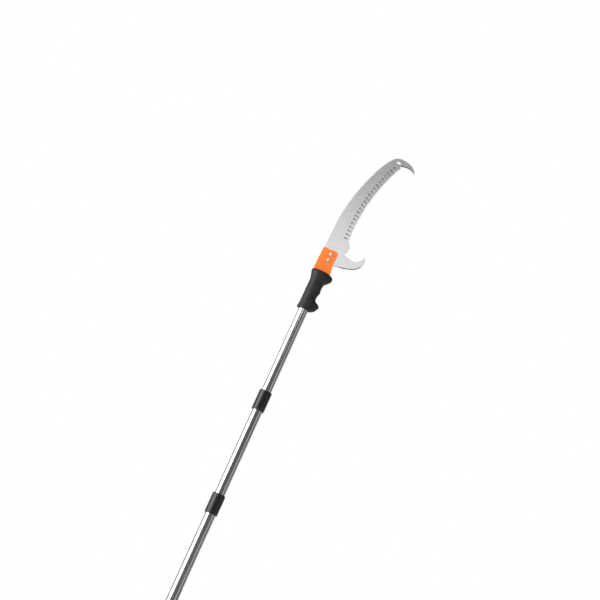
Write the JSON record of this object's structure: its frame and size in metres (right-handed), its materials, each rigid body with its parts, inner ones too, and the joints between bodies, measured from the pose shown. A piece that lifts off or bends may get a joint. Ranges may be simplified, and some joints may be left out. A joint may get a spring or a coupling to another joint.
{
  "type": "telescoping pole saw",
  "caption": "Telescoping pole saw with a curved hooked pruning blade in a steel socket, a moulded hand grip and a steel pole with twist locks.",
  "frame": {"origin": "centre of the butt cap's flat end face", "axes": "+Z along the pole's axis from the butt to the blade, +X towards the side the teeth and hooks face, -Y towards the side with the blade screw heads"},
  "size_m": [0.141, 0.0377, 1.5974],
  "materials": {
    "stainless_tube": "polished stainless steel",
    "blade_steel": "satin ground spring steel",
    "orange_paint": "orange powder coat, semi-gloss",
    "grip_black": "moulded, fine matt texture",
    "nylon_black": "moulded nylon, satin",
    "acetal_grey": "natural acetal",
    "rubber_black": "matt",
    "zinc_fastener": "zinc plated"
  },
  "bodies": {
    "base": {"base_tube": "stainless_tube", "butt_cap": "rubber_black", "lower_lock_body": "nylon_black"},
    "lower_wedge": {"lower_wedge_ring": "acetal_grey"},
    "lower_nut": {"lower_lock_nut": "nylon_black"},
    "middle_guide": {"middle_guide_ring": "acetal_grey"},
    "middle": {"middle_tube": "stainless_tube", "middle_tube_plug": "nylon_black", "upper_lock_body": "nylon_black"},
    "upper_wedge": {"upper_wedge_ring": "acetal_grey"},
    "upper_nut": {"upper_lock_nut": "nylon_black"},
    "top_guide": {"top_guide_ring": "acetal_grey"},
    "head": {"top_tube": "stainless_tube", "top_tube_plug": "nylon_black", "blade_socket": "orange_paint", "socket_bush": "nylon_black", "grip": "grip_black", "grip_screw": "zinc_fastener", "saw_blade": "blade_steel", "blade_screw_upper": "zinc_fastener", "blade_washer_upper": "zinc_fastener", "blade_nut_upper": "zinc_fastener", "blade_screw_lower": "zinc_fastener", "blade_washer_lower": "zinc_fastener", "blade_nut_lower": "zinc_fastener"}
  },
  "joints": [
    {"name": "lower_wedge_lift", "type": "slide", "parent": "base", "child": "lower_wedge", "axis": [0, 0, 1], "range_m": [0, 0.00101]},
    {"name": "lower_nut_turn", "type": "hinge", "parent": "lower_wedge", "child": "lower_nut", "pos_m": [0, 0, 0.58], "axis": [0, 0, 1], "range_deg": [0, 120]},
    {"name": "middle_slide", "type": "slide", "parent": "base", "child": "middle_guide", "axis": [0, 0, 1], "range_m": [-0.227, 0.234]},
    {"name": "middle_swivel", "type": "hinge", "parent": "middle_guide", "child": "middle", "pos_m": [0, 0, 0.58], "axis": [0, 0, 1], "continuous": true},
    {"name": "upper_wedge_lift", "type": "slide", "parent": "middle", "child": "upper_wedge", "axis": [0, 0, 1], "range_m": [0, 0.00101]},
    {"name": "upper_nut_turn", "type": "hinge", "parent": "upper_wedge", "child": "upper_nut", "pos_m": [0, 0, 0.871], "axis": [0, 0, 1], "range_deg": [0, 120]},
    {"name": "top_slide", "type": "slide", "parent": "middle", "child": "top_guide", "axis": [0, 0, 1], "range_m": [-0.228, 0.236]},
    {"name": "top_swivel", "type": "hinge", "parent": "top_guide", "child": "head", "pos_m": [0, 0, 0.871], "axis": [0, 0, 1], "continuous": true}
  ],
  "couplings": [
    {"joint": "lower_wedge_lift", "follows": "lower_nut_turn", "m_per_rad": 0.00047746},
    {"joint": "upper_wedge_lift", "follows": "upper_nut_turn", "m_per_rad": 0.00047746}
  ]
}
